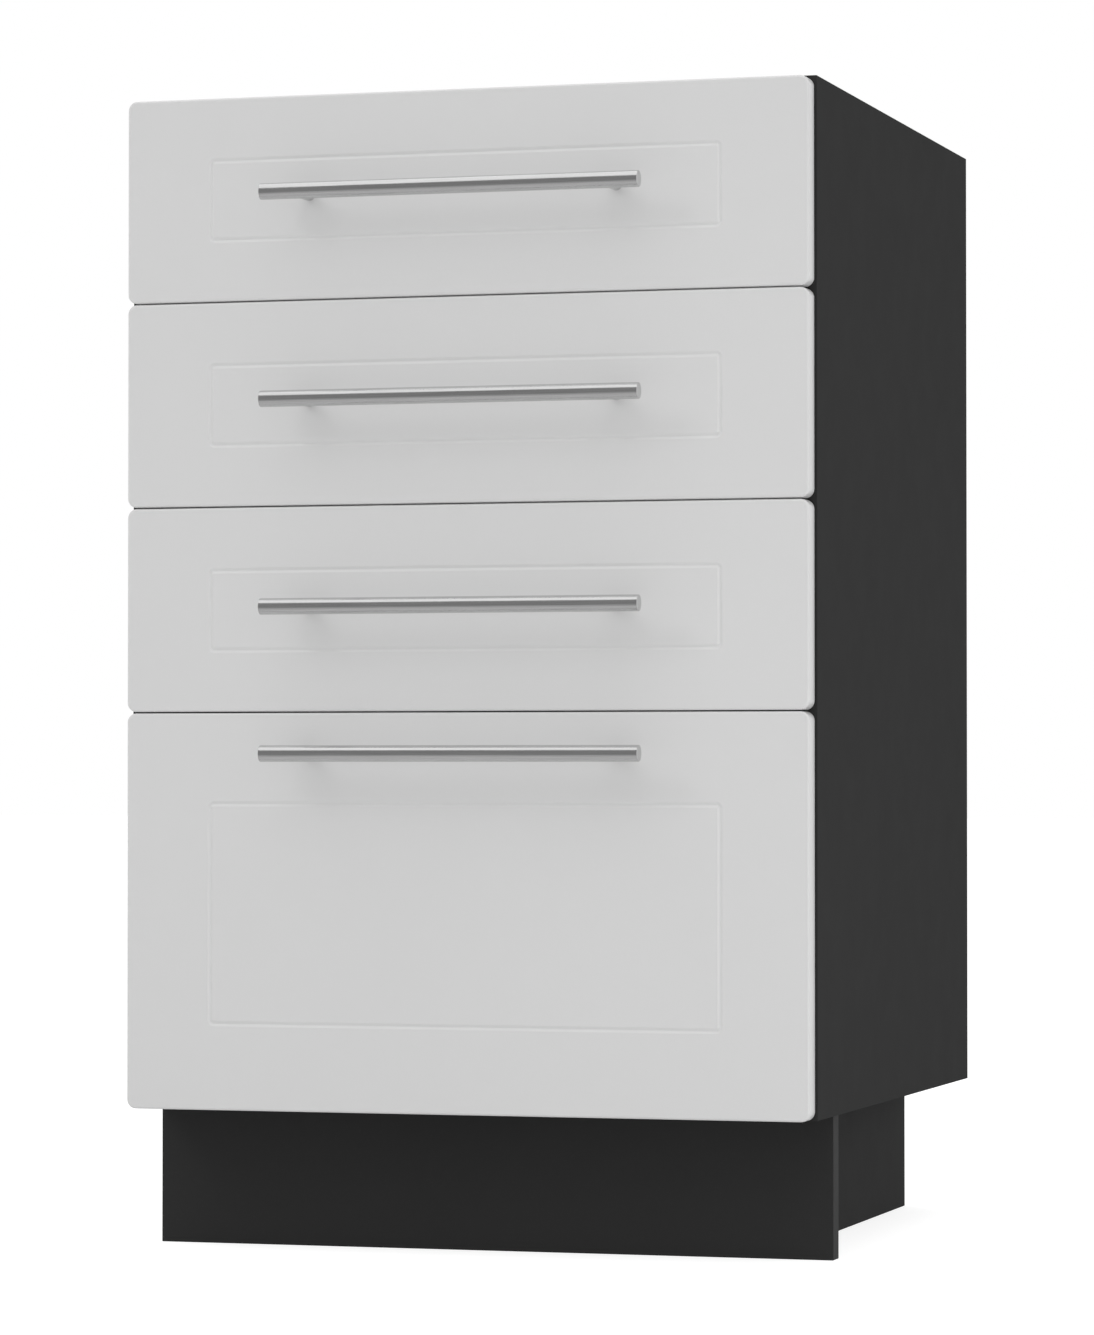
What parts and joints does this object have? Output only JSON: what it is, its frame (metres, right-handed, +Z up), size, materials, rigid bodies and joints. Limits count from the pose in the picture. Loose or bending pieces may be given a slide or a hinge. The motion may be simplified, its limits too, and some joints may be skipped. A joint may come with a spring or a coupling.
{
  "type": "base cabinet with drawers",
  "caption": "Floor-standing kitchen base cabinet with milled drawer fronts, bar handles, full-extension ball runners and a recessed plinth; open on top for a worktop.",
  "frame": {"origin": "on the floor, at the centre of the bounding box seen from above, handles included", "axes": "+Z up, +X to the right of a user who stands in front, +Y from the fronts to the back panel"},
  "size_m": [0.5, 0.5486, 0.8151],
  "materials": {
    "carcass_board": "graphite melamine-faced chipboard, matt",
    "back_board": "graphite lacquered hardboard",
    "front_foil": "light grey satin foil over milled fibreboard",
    "handle_steel": "brushed along the bar",
    "box_board": "pale melamine-faced chipboard",
    "box_bottom_board": "pale lacquered hardboard",
    "runner_steel": "zinc-plated cold-rolled steel"
  },
  "bodies": {
    "cabinet": {"side_left": "carcass_board", "side_right": "carcass_board", "bottom_panel": "carcass_board", "front_rail": "carcass_board", "rear_rail": "carcass_board", "back_panel": "back_board", "plinth_board": "carcass_board", "base_side_left": "carcass_board", "base_side_right": "carcass_board", "base_rear": "carcass_board", "runner_cabinet_left_1": "runner_steel", "runner_cabinet_right_1": "runner_steel", "runner_cabinet_left_2": "runner_steel", "runner_cabinet_right_2": "runner_steel", "runner_cabinet_left_3": "runner_steel", "runner_cabinet_right_3": "runner_steel", "runner_cabinet_left_4": "runner_steel", "runner_cabinet_right_4": "runner_steel"},
    "drawer_1": {"drawer_front_1": "front_foil", "handle_1": "handle_steel", "box_side_left_1": "box_board", "box_side_right_1": "box_board", "box_back_1": "box_board", "box_bottom_1": "box_bottom_board", "runner_drawer_left_1": "runner_steel", "runner_drawer_right_1": "runner_steel"},
    "drawer_2": {"drawer_front_2": "front_foil", "handle_2": "handle_steel", "box_side_left_2": "box_board", "box_side_right_2": "box_board", "box_back_2": "box_board", "box_bottom_2": "box_bottom_board", "runner_drawer_left_2": "runner_steel", "runner_drawer_right_2": "runner_steel"},
    "drawer_3": {"drawer_front_3": "front_foil", "handle_3": "handle_steel", "box_side_left_3": "box_board", "box_side_right_3": "box_board", "box_back_3": "box_board", "box_bottom_3": "box_bottom_board", "runner_drawer_left_3": "runner_steel", "runner_drawer_right_3": "runner_steel"},
    "drawer_4": {"drawer_front_4": "front_foil", "handle_4": "handle_steel", "box_side_left_4": "box_board", "box_side_right_4": "box_board", "box_back_4": "box_board", "box_bottom_4": "box_bottom_board", "runner_drawer_left_4": "runner_steel", "runner_drawer_right_4": "runner_steel"},
    "runner_middle_1": {"runner_middle_left_1": "runner_steel", "runner_middle_right_1": "runner_steel"},
    "runner_middle_2": {"runner_middle_left_2": "runner_steel", "runner_middle_right_2": "runner_steel"},
    "runner_middle_3": {"runner_middle_left_3": "runner_steel", "runner_middle_right_3": "runner_steel"},
    "runner_middle_4": {"runner_middle_left_4": "runner_steel", "runner_middle_right_4": "runner_steel"}
  },
  "joints": [
    {"name": "drawer_1_slide", "type": "slide", "parent": "cabinet", "child": "drawer_1", "axis": [0, -1, 0], "range_m": [0, 0.45]},
    {"name": "drawer_2_slide", "type": "slide", "parent": "cabinet", "child": "drawer_2", "axis": [0, -1, 0], "range_m": [0, 0.45]},
    {"name": "drawer_3_slide", "type": "slide", "parent": "cabinet", "child": "drawer_3", "axis": [0, -1, 0], "range_m": [0, 0.45]},
    {"name": "drawer_4_slide", "type": "slide", "parent": "cabinet", "child": "drawer_4", "axis": [0, -1, 0], "range_m": [0, 0.45]},
    {"name": "runner_middle_1_slide", "type": "slide", "parent": "cabinet", "child": "runner_middle_1", "axis": [0, -1, 0], "range_m": [0, 0.225]},
    {"name": "runner_middle_2_slide", "type": "slide", "parent": "cabinet", "child": "runner_middle_2", "axis": [0, -1, 0], "range_m": [0, 0.225]},
    {"name": "runner_middle_3_slide", "type": "slide", "parent": "cabinet", "child": "runner_middle_3", "axis": [0, -1, 0], "range_m": [0, 0.225]},
    {"name": "runner_middle_4_slide", "type": "slide", "parent": "cabinet", "child": "runner_middle_4", "axis": [0, -1, 0], "range_m": [0, 0.225]}
  ],
  "couplings": [
    {"joint": "runner_middle_1_slide", "follows": "drawer_1_slide", "ratio": 0.5},
    {"joint": "runner_middle_2_slide", "follows": "drawer_2_slide", "ratio": 0.5},
    {"joint": "runner_middle_3_slide", "follows": "drawer_3_slide", "ratio": 0.5},
    {"joint": "runner_middle_4_slide", "follows": "drawer_4_slide", "ratio": 0.5}
  ]
}
